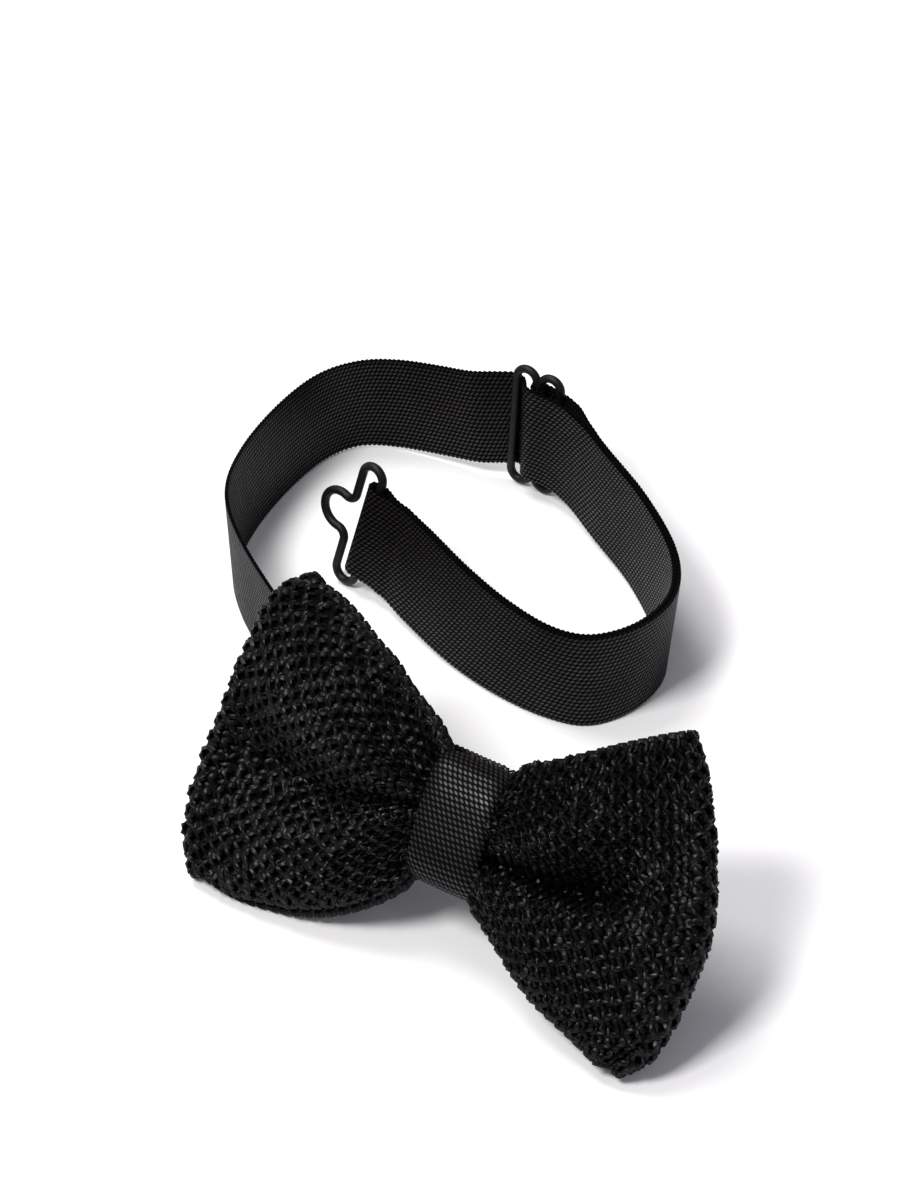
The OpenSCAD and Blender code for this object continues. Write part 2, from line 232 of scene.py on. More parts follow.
class Finish:
    """A material under construction; every node but Math comes from add()."""

    def __init__(self, name):
        self.material = bpy.data.materials.new(name)
        self.material.use_nodes = True
        self.tree = self.material.node_tree
        self.tree.nodes.clear()

    def add(self, kind, settings=None, inputs=None, output=0):
        node = self.tree.nodes.new(kind)
        for name, value in (settings or {}).items():
            setattr(node, name, value)
        for name, value in (inputs or {}).items():
            if isinstance(value, Signal):
                self.tree.links.new(value.socket, node.inputs[name])
            else:
                node.inputs[name].default_value = value
        return Signal(self, node.outputs[output]) if node.outputs else None

    def mix(self, share, low, high):
        return self.add("ShaderNodeMix", {"data_type": "RGBA"}, {0: share, 6: low, 7: high}, 2)

    def split(self, vector):
        return [self.add("ShaderNodeSeparateXYZ", inputs={0: vector}, output=k) for k in range(2)]

    def noise(self, vector, scale, detail=2.0):
        return self.add("ShaderNodeTexNoise", inputs={"Vector": vector, "Scale": scale,
                                                      "Detail": detail})

    def surface(self, height, bump, distance, **inputs):
        normal = self.add("ShaderNodeBump", inputs={"Strength": bump, "Distance": distance,
                                                    "Height": height})
        names = {"colour": "Base Color", "roughness": "Roughness",
                 "specular": "Specular IOR Level", "coat": "Coat Weight",
                 "coat_roughness": "Coat Roughness"}
        shader = self.add("ShaderNodeBsdfPrincipled",
                          inputs={"Normal": normal,
                                  **{names[k]: v for k, v in inputs.items()}})
        self.add("ShaderNodeOutputMaterial", inputs={"Surface": shader})
        return self.material


def shade(colour, share=1.0):
    return (*[c * share for c in colour], 1.0)


def woven_tape(name, settings):
    """Rows of small slanted floats, staggered row by row, on the tape's own UV in metres."""
    finish = Finish(name)
    uv = finish.add("ShaderNodeUVMap", {"uv_map": "weave"})
    along_tape, across = finish.split(uv)
    row = across / (settings.width / settings.rows)
    row_number = row.math("FLOOR")
    in_row = row - row_number - 0.5
    column = along_tape / 0.00112 + row_number * 0.5
    in_column = column.math("FRACT") - 0.5
    slant = math.radians(34)
    run = in_column * math.cos(slant) + in_row * math.sin(slant)
    rise = in_row * math.cos(slant) - in_column * math.sin(slant)
    float_shape = ((run / 0.66).math("POWER", 2) + (rise / 0.3).math("POWER", 2)).math("SQRT")
    raised = 1 - float_shape.between(0.35, 1.0)
    worn = finish.noise(uv, 900.0, 3.0)
    streak = finish.noise(uv, 160.0, 2.0)
    # Painted highlight: the raised floats are lit in the colour, varied at random by the worn and
    # streak noises. The grooves between them keep 3% of the colour as painted shade. The same mask
    # also raises the coat and lowers the roughness.
    painted_light_and_tone = raised * (0.55 + worn * 0.9) * (0.7 + streak * 0.6)
    return finish.surface(
        raised + worn * 0.25, 1.0, 0.00034,
        colour=finish.mix(painted_light_and_tone, shade(settings.colour, 0.03), shade(settings.colour)),
        roughness=0.62 - painted_light_and_tone * 0.15, specular=0.04, coat=painted_light_and_tone * 0.7, coat_roughness=0.38)


def twisted_yarn(name, colour, painted_highlight_share, bump, uv_map="yarn"):
    """Two-ply yarn: slanted ply lines on the yarn's own UV and slow changes over the piece."""
    finish = Finish(name)
    uv = finish.add("ShaderNodeUVMap", {"uv_map": uv_map})
    along_yarn, around = finish.split(uv)
    place = finish.add("ShaderNodeTexCoord", output=3)
    ply = ((along_yarn * 5.0 + around * 2.0) * math.tau).math("SINE") * 0.5 + 0.5
    fibre = finish.noise(place, 5200.0, 3.0)
    patch = finish.noise(place, 420.0, 2.0)
    # Painted highlight and shade: the colour is lighter along the ply crests and darker between
    # them, mixed with random tone from the fibre noise. The same mask raises the coat.
    painted_light_and_tone = ply * 0.5 + fibre * 0.5
    return finish.surface(
        ply * 0.7 + fibre * 0.6, bump, 0.0001,
        # The lighter end, a multiple of the yarn colour, is the painted highlight on the ply
        # crests.
        colour=finish.mix(painted_light_and_tone, shade(colour, 0.45), shade(colour, painted_highlight_share)),
        roughness=0.5 + patch * 0.1, specular=0.02,
        coat=(0.05 + painted_light_and_tone * 0.66) * (0.3 + patch * 0.85), coat_roughness=0.36)


def dark_backing(name, colour):
    """The shadowed inside of the knit, seen between the stitches: its colour, a tenth to half of
    the yarn's, is painted shade.
    """
    finish = Finish(name)
    place = finish.add("ShaderNodeTexCoord", output=3)
    grain = finish.noise(place, 900.0, 3.0)
    return finish.surface(grain, 0.6, 0.0004,
                          colour=finish.mix(grain, shade(colour, 0.1), shade(colour, 0.5)),
                          roughness=0.8 + grain * 0.15, specular=0.08)


def coated_wire(name, colour):
    """Satin lacquer over wire, a little worn and uneven."""
    finish = Finish(name)
    place = finish.add("ShaderNodeTexCoord", output=3)
    cloud = finish.noise(place, 700.0, 3.0)
    speck = finish.noise(place, 4200.0, 2.0)
    return finish.surface(
        cloud * 0.7 + speck * 0.3, 0.12, 0.0001,
        colour=finish.mix(cloud, shade(colour, 0.7), shade(colour, 1.5)),
        roughness=0.4 + cloud * 0.12 + speck * 0.06, specular=0.22)


def pale_floor(name):
    finish = Finish(name)
    place = finish.add("ShaderNodeTexCoord", output=3)
    grain = finish.noise(place, 30.0, 2.0)
    return finish.surface(grain, 0.02, 0.001,
                          colour=finish.mix(grain, (0.93, 0.93, 0.935, 1), (0.95, 0.95, 0.95, 1)),
                          roughness=0.9, specular=0.1)


FINISHES = {}


def finish_for(slot_name):
    """The material of a slot, made once."""
    scene = bpy.context.scene
    knit, tape, fittings = scene.bow_tie_knit, scene.bow_tie_tape, scene.bow_tie_fittings
    makers = {
        "knit": lambda: twisted_yarn("knit_yarn", knit.colour, 1.7, 0.5),
        "backing": lambda: dark_backing("knit_backing_painted_shade", knit.colour),
        "tape": lambda: woven_tape("woven_tape", tape),
        "coated_wire": lambda: coated_wire("coated_wire", fittings.wire_colour),
        "thread": lambda: twisted_yarn("sewing_thread", knit.colour, 2.4, 0.3),
        "floor": lambda: pale_floor("pale_floor"),
    }
    if slot_name not in FINISHES:
        FINISHES[slot_name] = makers[slot_name]()
    return FINISHES[slot_name]


# ---- curves -----------------------------------------------------------------
def unit(v):
    return v / np.maximum(np.linalg.norm(v, axis=-1, keepdims=True), 1e-12)


def spline(points, u):
    """Places u on the smooth curve through points, its ends mirrored outward."""
    points = np.asarray(points, float)
    last = len(points) - 1
    padded = np.vstack([2 * points[0] - points[1], points, 2 * points[-1] - points[-2]])
    i = np.clip(np.floor(u).astype(int), 0, last - 1)
    t = (u - i)[:, None]
    a, b, c, d = (padded[i + k] for k in range(4))
    return 0.5 * (2 * b + (c - a) * t + (2 * a - 5 * b + 4 * c - d) * t ** 2
                  + (3 * b - a - 3 * c + d) * t ** 3)


def even_curve(points, count):
    """count points on the curve, evenly spaced along its length."""
    dense = spline(points, np.linspace(0, len(points) - 1, 40 * len(points)))
    length = np.r_[0, np.cumsum(np.linalg.norm(np.diff(dense, axis=0), axis=1))]
    at = np.linspace(0, length[-1], count)
    return np.stack([np.interp(at, length, dense[:, k]) for k in range(dense.shape[1])], 1)


def route_frame(points, u):
    """Middle, heading, outward and width directions of the tape at places u."""
    u = np.atleast_1d(np.asarray(u, float))
    here = spline(points, u)
    step = 0.01
    ahead = spline(points, np.minimum(u + step, len(points) - 1))[:, :3]
    behind = spline(points, np.maximum(u - step, 0))[:, :3]
    heading = unit(ahead - behind)
    side = unit(np.stack([-heading[:, 1], heading[:, 0], np.zeros(len(u))], 1))
    lean = np.radians(here[:, 3])[:, None]
    width = np.cos(lean) * np.cross(heading, side) + np.sin(lean) * side
    return here[:, :3], heading, unit(np.cross(width, heading)), width


def near_adjuster(x):
    """The place on ROUTE at distance x from the adjuster's middle."""
    steps = np.linalg.norm(np.diff(ROUTE[:, :3], axis=0), axis=1)
    first = int(ADJUSTER_U)
    run = np.r_[0, np.cumsum(steps)]
    middle = run[first] + (ADJUSTER_U - first) * steps[first]
    return np.interp(middle + np.asarray(x, float), run, np.arange(len(run)))


class TapeLine:
    """The middle line of one strip of tape: places, width directions and a running key."""

    def __init__(self):
        self.places, self.widths, self.keys = [], [], []

    def beside(self, points, u, offsets, keys=None):
        here, _, outward, width = route_frame(points, u)
        offsets = np.broadcast_to(offsets, len(u))[:, None]
        self.places.append(here + offsets * outward)
        self.widths.append(width)
        self.keys.append(np.asarray(u if keys is None else keys, float))

    def local(self, points, u, shape, keys):
        """A shape given along and outward from place u of points."""
        here, heading, outward, width = route_frame(points, u)
        self.places.append(here + shape[:, :1] * heading + shape[:, 1:2] * outward)
        self.widths.append(np.repeat(width, len(shape), 0))
        self.keys.append(np.asarray(keys, float))

    def close(self):
        places, widths, keys = (np.concatenate(x) for x in (self.places, self.widths, self.keys))
        gaps = np.linalg.norm(np.diff(places, axis=0), axis=1)
        keep = np.r_[True, gaps > 1e-3]
        places, widths, keys = places[keep], widths[keep], keys[keep]
        for _ in range(3):
            places[1:-1] = 0.25 * places[:-2] + 0.5 * places[1:-1] + 0.25 * places[2:]
        self.run = np.r_[0, np.cumsum(np.linalg.norm(np.diff(places, axis=0), axis=1))]
        self.places, self.widths, self.keys = places, widths, keys
        self.headings = unit(np.gradient(places, self.run, axis=0))

    def run_at(self, key):
        return np.interp(key, self.keys, self.run)

    def frame(self, run):
        take = lambda values: np.stack([np.interp(run, self.run, values[:, k])
                                        for k in range(3)], 1)
        heading = unit(take(self.headings))
        width = take(self.widths)
        width = unit(width - heading * np.sum(width * heading, 1, keepdims=True))
        return take(self.places), heading, np.cross(width, heading), width


def smooth_shape(shape, count):
    return spline(shape, np.linspace(0, len(shape) - 1, count))


def neck_tape_line():
    """The whole neck tape: from the knot, through the adjuster, round the hook and back."""
    line = TapeLine()
    line.beside(ROUTE, np.arange(0, float(near_adjuster(-20.2)), 0.04), 0)
    weave = smooth_shape(WEAVE, 160)
    line.beside(ROUTE, near_adjuster(weave[:, 0]), weave[:, 1])
    line.beside(ROUTE, np.arange(float(near_adjuster(14.5)), FOLD_END, 0.04), -LAYER_OFF)
    fold = smooth_shape(HOOK_FOLD, 90)
    fold[:, 0] += HOOK_BACK
    line.local(ROUTE, [FOLD_END], fold, FOLD_END + np.linspace(0, 1, 90))
    back = np.arange(FOLD_END - 0.04, float(near_adjuster(19.5)), -0.04)
    line.beside(ROUTE, back, LAYER_OFF, RETURN_FROM - back)
    lead = smooth_shape(LEAD, 60)
    there = near_adjuster(lead[:, 0])
    line.beside(ROUTE, there, lead[:, 1], RETURN_FROM - there)
    turn = np.radians(np.linspace(90, 405, 60))
    ring = np.stack([BAR_WRAP * np.cos(turn), ADJUSTER_OFF + BAR_WRAP * np.sin(turn)], 1)
    ring = np.vstack([[[2.5, 2.56], [1.2, 2.56]], ring])
    line.local(ROUTE, [ADJUSTER_U], ring, 41.4 + np.linspace(0.01, 1, len(ring)))
    line.close()
    return line


def tab_tape_line():
    """The short tape with the eye: from the knot, round the eye's bar and back."""
    line = TapeLine()
    last = len(TAB) - 1
    line.beside(TAB, np.arange(0, last, 0.02), 0)
    fold = smooth_shape(TAB_FOLD, 70)
    fold[:, 0] += TAB_BACK
    line.local(TAB, [last], fold, last + np.linspace(0, 1, 70))
    line.close()
    return line


# ---- mesh helpers -----------------------------------------------------------
def coordinates(mesh):
    co = np.empty(len(mesh.vertices) * 3)
    mesh.vertices.foreach_get("co", co)
    return co.reshape(-1, 3)


def finished(bm, name, finish, place=None, smooth=True):
    """A new piece from bm, its points moved by place, with a material."""
    mesh = bpy.data.meshes.new(name)
    bm.to_mesh(mesh)
    bm.free()
    if place is not None:
        mesh.vertices.foreach_set("co", (place(coordinates(mesh)) * MM).ravel())
    mesh.update()
    mesh.materials.append(finish)
    mesh.polygons.foreach_set("use_smooth", [smooth] * len(mesh.polygons))
    piece = bpy.data.objects.new(name, mesh)
    bpy.context.collection.objects.link(piece)
    return piece


def outward_faces(piece):
    bm = bmesh.new()
    bm.from_mesh(piece.data)
    bmesh.ops.recalc_face_normals(bm, faces=bm.faces)
    bm.to_mesh(piece.data)
    bm.free()
    piece.data.set_sharp_from_angle(angle=math.radians(55))
    return piece


def ribbon(columns, rows, thickness, uv_name, stations, half_width, turned=False):
    """A flat strip with two faces: x is the station's number, y runs across it in mm."""
    bm = bmesh.new()
    bmesh.ops.create_grid(bm, x_segments=columns, y_segments=rows, size=1,
                          matrix=Matrix.Diagonal((columns / 2, half_width, 1, 1)))
    bmesh.ops.translate(bm, vec=(columns / 2, 0, 0), verts=bm.verts)
    bmesh.ops.solidify(bm, geom=bm.faces[:], thickness=thickness)
    low = min(v.co.z for v in bm.verts)
    bmesh.ops.translate(bm, vec=(0, 0, -thickness / 2 - low), verts=bm.verts)
    layer = bm.loops.layers.uv.new(uv_name)
    for face in bm.faces:
        for loop in face.loops:
            x, y, _ = loop.vert.co
            places = (stations[round(x)] * MM, (y + half_width) * MM)
            loop[layer].uv = places[::-1] if turned else places
    return bm


RIB_PITCH = 0.56


def tape_piece(name, line, start, end, slot_name="tape", half=None, rolled=0.0, turned=False):
    """A stretch of tape along line from run start to run end."""
    tape = bpy.context.scene.bow_tie_tape
    half = tape.width / MM / 2 if half is None else half
    thick = tape.thickness / MM
    pitch = RIB_PITCH
    inner = np.arange(math.ceil(start / pitch + 0.3), math.floor(end / pitch - 0.3) + 1) * pitch
    stations = np.r_[start, inner, end]
    rows = 2 * round(tape.rows * half / (tape.width / MM / 2))
    bm = ribbon(len(stations) - 1, rows, thick, "weave", stations, half, turned)
    middles, _, outward, width = line.frame(stations)
    wave = np.where(np.round(stations / pitch) % 2 == 0, 1.0, -1.0)
    wave[[0, -1]] = 0

    def place(co):
        k = np.round(co[:, 0]).astype(int)
        share = co[:, 1] / half
        row = np.round((share + 1) / 2 * rows).astype(int)
        edge = np.abs(share) > 1 - 1.5 / rows
        groove = np.where(row % 2 == 0, 0.09, 0.0) * ~edge
        lift = np.sign(co[:, 2]) * (thick / 2 - groove - 0.12 * edge)
        across = co[:, 1] + np.sign(share) * edge * (0.16 * wave[k] - 0.16)
        bent = rolled * np.abs(share) ** 6
        return middles[k] + outward[k] * (lift - bent)[:, None] + width[k] * across[:, None]

    return outward_faces(finished(bm, name, finish_for(slot_name), place))


def in_bow(co):
    """From the bow's own plane to the object's frame, both in millimetres."""
    c, s = math.cos(BOW_LEAN), math.sin(BOW_LEAN)
    return BOW_AT + np.stack([co[:, 0], co[:, 1] * c - co[:, 2] * s,
                              co[:, 1] * s + co[:, 2] * c], 1)


def settled(points, give=0.4):
    """Yarn that would reach into the table lies on it instead."""
    points = points.copy()
    points[:, 2] = np.logaddexp(0, points[:, 2] / give) * give
    return points


def tube_along(bm, path, radii, sides, uv_name):
    """A tube whose ring is carried along path by extruding it, with a flat cap on each end."""
    layer = bm.loops.layers.uv.get(uv_name) or bm.loops.layers.uv.new(uv_name)
    path = [Vector(p) for p in path]
    ring = bmesh.ops.create_circle(bm, cap_ends=True, radius=1, segments=sides)["verts"]
    edges = list({e for v in ring for e in v.link_edges})
    made = list(ring)
    rings = [ring]
    for _ in path[1:]:
        out = bmesh.ops.extrude_edge_only(bm, edges=edges)["geom"]
        edges = [g for g in out if isinstance(g, bmesh.types.BMEdge)]
        ring = [g for g in out if isinstance(g, bmesh.types.BMVert)]
        rings.append(ring)
        made += ring
    bmesh.ops.contextual_create(bm, geom=edges)
    for k, (point, ring) in enumerate(zip(path, rings)):
        heading = (path[min(k + 1, len(path) - 1)] - path[max(k - 1, 0)]).normalized()
        turn = heading.to_track_quat("Z", "Y").to_matrix().to_4x4()
        at = Matrix.Translation(point) @ turn @ Matrix.Diagonal((radii[k], radii[k], radii[k], 1))
        bmesh.ops.transform(bm, matrix=at, verts=ring)
    last = len(rings) - 1
    number = {v: (k / last) for k, ring in enumerate(rings) for v in ring}
    for face in {f for v in made for f in v.link_faces}:
        for loop in face.loops:
            spin = (loop.vert.co - path[round(number[loop.vert] * last)]).normalized()
            loop[layer].uv = (number[loop.vert], 0.5 + spin.z * 0.25 + spin.x * 0.25)
    return made


# ---- bow --------------------------------------------------------------------
class Wing:
    """The folded strip of one wing: front layer, outer fold and back layer as one surface."""

    GRID = (300, 180)
    EDGE_FRONT, EDGE_BACK = 2.7, -1.6
    YARN_REACH = 0.9

    def __init__(self, side):
        self.side = side
        self.sign = 1 if side == "right" else -1
        self.inset = (self.EDGE_FRONT - self.EDGE_BACK) / 2
        front, back = self.layer(True), self.layer(False)
        self.points = self.joined(front, back)
        self.even_rows()
        along_a, along_t = np.gradient(self.points, axis=(0, 1))
        self.normals = unit(np.cross(along_a, along_t)) * self.sign

    def crease(self, s):
        table = np.array(CREASES[self.side])
        return [np.interp(s, table[:, 0], table[:, k]) for k in (1, 2, 3)]

    def layer(self, front):
        """Points over (way out, way up) of one layer, with its lobes and crease."""
        columns, rows = 121, self.GRID[1]
        s, t = np.linspace(0, 1, columns)[:, None], np.linspace(0, 1, rows)[None, :]
        lines = OUTLINES[self.side]
        bottom, top = (even_curve(lines[k], columns) for k in ("bottom", "top"))
        outer = even_curve(lines["outer"], rows)
        tangent = unit(np.gradient(outer, axis=0))
        inward = np.stack([-tangent[:, 1], tangent[:, 0]], 1) * self.sign
        outer = outer + inward * (self.inset + self.YARN_REACH)
        self.outward = -inward
        for line, side in ((bottom, 1), (top, -1)):
            slope = unit(np.gradient(line, axis=0))
            line += np.stack([-slope[:, 1], slope[:, 0]], 1) * side * self.sign * 0.75
        reach = (s ** 3)[..., None]
        bottom = bottom + reach[:, 0] * (outer[0] - bottom[-1])
        top = top + reach[:, 0] * (outer[-1] - top[-1])
        if not front:
            drop = 1.7 * np.sin(np.pi * np.clip(s[:, 0] * 0.95, 0, 1)) ** 0.5
            bottom = bottom - np.stack([0 * drop, drop if self.side == "left" else drop * 0.2], 1)
        root = bottom[:1] + (top[:1] - bottom[:1]) * t[0][:, None]
        s3, t3 = s[..., None], t[..., None]
        flat = ((1 - t3) * bottom[:, None] + t3 * top[:, None]
                + (1 - s3) * root[None] + s3 * outer[None]
                - (1 - s3) * ((1 - t3) * bottom[0] + t3 * top[0])
                - s3 * ((1 - t3) * outer[0] + t3 * outer[-1]))
        swell = np.sin(np.pi * t) ** 0.6 * np.sin(np.pi * (0.13 + 0.76 * s))
        if front:
            depth, middle, width = self.crease(s)
            above, below = WALLS[self.side]
            width = width * np.where(t > middle, above, below)
            fold = np.exp(-np.abs((t - middle) / width) ** 1.7)
            gathers = 0.35 * np.sin(t * 34 + 2 * s) * np.clip(1 - 3.2 * s, 0, 1)
            height = self.EDGE_FRONT + 7.4 * swell - depth * fold + gathers
            pinch = np.clip(1 - s / 0.12, 0, 1) ** 2
            height = height * (1 - pinch) + (1.5 + 3.2 * np.sin(np.pi * t)) * pinch
        else:
            height = self.EDGE_BACK - 2.2 * swell
        return np.concatenate([flat, np.broadcast_to(height, flat.shape[:2])[..., None]], 2)

    def joined(self, front, back):
        """Front, round the outer edge, then back, evenly along the strip."""
        turn = np.linspace(0, np.pi, 25)[1:-1, None]
        middle = (front[-1] + back[-1]) / 2
        radius = (front[-1] - back[-1])[:, 2] / 2
        fold = np.empty((len(turn), *middle.shape))
        fold[..., :2] = (middle[:, :2]
                         + self.outward * (np.sin(turn) * radius)[..., None]
                         + (front[-1] - back[-1])[:, :2] / 2 * np.cos(turn)[..., None])
        fold[..., 2] = middle[:, 2] + radius * np.cos(turn)
        strip = np.concatenate([front, fold, back[::-1]])
        steps = np.linalg.norm(np.diff(strip[:, ::12], axis=0), axis=2).mean(1)
        self.run = np.r_[0, np.cumsum(steps)]
        self.front_length = self.run[len(front) - 1]
        at = np.linspace(0, self.run[-1], self.GRID[0])
        flat = strip.reshape(len(strip), -1)
        index = np.interp(at, self.run, np.arange(len(strip)))
        low = np.clip(index.astype(int), 0, len(strip) - 2)
        share = (index - low)[:, None]
        return (flat[low] * (1 - share) + flat[low + 1] * share).reshape(
            self.GRID[0], *strip.shape[1:])

    def even_rows(self):
        """Spaces the rows evenly along the cloth, into the creases and over the lobes."""
        t = np.linspace(0, 1, self.GRID[1])
        for k, column in enumerate(self.points):
            length = np.r_[0, np.cumsum(np.linalg.norm(np.diff(column, axis=0), axis=1))]
            at = np.interp(t, length / length[-1], t)
            at = 0.35 * t + 0.65 * at
            self.points[k] = np.stack([np.interp(at, t, column[:, j]) for j in range(3)], 1)

    def place(self, along_share, up_share, height):
        """Points at shares of the strip's length and width, raised by height."""
        a = np.clip(along_share, 0, 1) * (self.GRID[0] - 1)
        t = up_share * (self.GRID[1] - 1)
        i = np.clip(a.astype(int), 0, self.GRID[0] - 2)
        j = np.clip(t.astype(int), 0, self.GRID[1] - 2)
        x, y = (a - i)[:, None], (t - j)[:, None]

        def at(grid):
            return ((1 - x) * ((1 - y) * grid[i, j] + y * grid[i, j + 1])
                    + x * ((1 - y) * grid[i + 1, j] + y * grid[i + 1, j + 1]))

        return settled(in_bow(at(self.points) + unit(at(self.normals)) * height[:, None]))


def repeated(bm, geometry, count, step):
    """The geometry, copied count - 1 times, each a step further."""
    if count > 1:
        bmesh.ops.spin(bm, geom=geometry, cent=(0, 0, 0), axis=(0, 0, 1), dvec=step, angle=0,
                       steps=count - 1, use_duplicate=True)


def whole(verts):
    """The points with all their edges and faces."""
    return verts + list({e for v in verts for e in v.link_edges}) \
        + list({f for v in verts for f in v.link_faces})


# One stitch's yarns: columns, rows and millimetres up, each with its radii as shares
LOOP_PATH = [(-0.42, 0.9, -0.7), (-0.32, 0.66, -0.08), (-0.06, 0.36, 0.4), (0.22, 0.1, 0.26),
             (0.22, -0.1, 0.26), (-0.06, -0.36, 0.4), (-0.32, -0.66, -0.08), (-0.42, -0.9, -0.7)]
LOOP_RADII = [0.6, 1.0, 1.1, 0.95, 0.95, 1.1, 1.0, 0.6]
LEG_PATH = [(0.12, 0.8, -0.55), (0.46, 0.46, 0.02), (0.6, 0.04, 0.1), (0.46, -0.36, -0.02),
            (0.16, -0.72, -0.6)]
LEG_RADII = [0.55, 0.72, 0.78, 0.72, 0.55]
LINK_PATH = [(-0.6, 0.3, -0.7), (-0.25, 0.2, -0.12), (0.22, -0.14, -0.12), (0.6, -0.3, -0.7)]
LINK_RADII = [0.75, 1.05, 1.05, 0.75]
HEM_PATH = [(-0.64, -0.6, -0.8), (-0.42, -0.1, -0.25), (-0.14, 0.3, 0.05), (0.14, 0.35, -0.05),
            (0.4, 0.05, -0.45), (0.62, -0.45, -1.0)]
HEM_RADII = [0.85, 1.35, 1.65, 1.65, 1.35, 0.85]
# Size of one column and one row of the flat field, and of one hem stitch
COLUMN_PITCH = 2.2
ROW_PITCH = 1.9
HEM_PITCH = 2.7


def stitch_field(first, columns, rows, radius):
    """A flat field of stitches from an even column on; x counts columns, y rows, z is in mm."""
    bm = bmesh.new()
    half_rows = rows // 2
    for path, radii, shift in ((LOOP_PATH, LOOP_RADII, 0), (LEG_PATH, LEG_RADII, 0),
                               (LINK_PATH, LINK_RADII, 1)):
        for column in (0, 1):
            start = (column + shift) % 2
            verts = tube_along(bm, [(column + 0.5 + x, start + 0.5 + y, z) for x, y, z in path],
                               [1.0] * len(path), 6, "yarn")
            shrink(verts, path, column, start, radii, radius)
            before = set(bm.verts)
            repeated(bm, whole(verts), half_rows + (1 - start) * (rows % 2), (0, 2, 0))
            column_verts = verts + [v for v in bm.verts if v not in before]
            repeated(bm, whole(column_verts), (columns + 1 - column) // 2, (2, 0, 0))
    bmesh.ops.translate(bm, vec=(first, 0, 0), verts=bm.verts)
    return bm


def shrink(verts, path, column, start, radii, radius):
    """Gives each ring its own radius, in column and row units across and in mm upward."""
    sides = len(verts) // len(path)
    for k, (x, y, z) in enumerate(path):
        middle = Vector((column + 0.5 + x, start + 0.5 + y, z))
        scale = Vector((radii[k] * radius / COLUMN_PITCH, radii[k] * radius / ROW_PITCH,
                        radii[k] * radius))
        for v in verts[k * sides:(k + 1) * sides]:
            v.co = middle + (v.co - middle) * scale


def add_wing(side):
    """The stitches, hems and cloth of one wing, riding on the bow."""
    knit = bpy.context.scene.bow_tie_knit
    wing = Wing(side)
    total = wing.run[-1]
    columns = round(knit.columns * total / wing.front_length)
    rows = knit.rows
    radius = knit.yarn_radius / MM
    rng = np.random.default_rng(5 if side == "left" else 6)
    waver = rng.normal(0, 1, (columns + 3, rows + 3, 3))

    def place_stitches(co):
        column = np.clip(np.floor(co[:, 0]).astype(int), -1, columns + 1)
        row = np.clip(np.floor(co[:, 1]).astype(int), -1, rows + 1)
        nudge = waver[column + 1, row + 1]
        return wing.place((co[:, 0] + 0.09 * nudge[:, 0]) / columns,
                          (co[:, 1] + 0.09 * nudge[:, 1]) / rows,
                          co[:, 2] + 0.12 * nudge[:, 2])

    half = 2 * (columns // 4)
    stitches = [finished(stitch_field(first, count, rows, radius),
                         f"{side}_wing_{layer}_stitches", finish_for("knit"), place_stitches)
                for layer, first, count in (("front", 0, half), ("back", half, columns - half))]
    hems = []
    for edge, up in (("bottom", 0), ("top", 1)):
        bm = bmesh.new()
        count = round(total / HEM_PITCH)
        verts = tube_along(bm, [(0.5 + x, y, z) for x, y, z in HEM_PATH], [1.0] * len(HEM_PATH),
                           7, "yarn")
        sides = len(verts) // len(HEM_PATH)
        for k, (x, y, z) in enumerate(HEM_PATH):
            middle = Vector((0.5 + x, y, z))
            reach = HEM_RADII[k] * radius
            for v in verts[k * sides:(k + 1) * sides]:
                v.co = middle + (v.co - middle) * Vector((reach / HEM_PITCH, reach, reach))
        repeated(bm, bm.verts[:] + bm.edges[:] + bm.faces[:], count, (1, 0, 0))

        def place_hem(co, up=up, count=count):
            out = 1 if up else -1
            return wing.place(co[:, 0] / count,
                              up + out * co[:, 1] / (rows * ROW_PITCH), co[:, 2] - 0.1)

        hems.append(finished(bm, f"{side}_wing_{edge}_hem", finish_for("knit"), place_hem))
    # The cloth sheet just under the stitches takes the backing's darker colour, painted shade seen
    # through the gaps.
    bm = bmesh.new()
    bmesh.ops.create_grid(bm, x_segments=150, y_segments=60, size=0.5)
    bmesh.ops.translate(bm, vec=(0.5, 0.5, 0), verts=bm.verts)
    cloth = finished(bm, f"{side}_wing_cloth", finish_for("backing"),
                     lambda co: wing.place(co[:, 0], co[:, 1], co[:, 0] * 0 - 0.85))
    cloth_solid = cloth.modifiers.new("thickness", "SOLIDIFY")
    cloth_solid.thickness = 0.0006
    cloth_solid.offset = 0
    for piece in (*stitches, *hems):
        outward_faces(piece)
    for piece in (*stitches, cloth, *hems):
        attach(piece, "bow")
    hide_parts(f"{side}_wing")
    return cloth


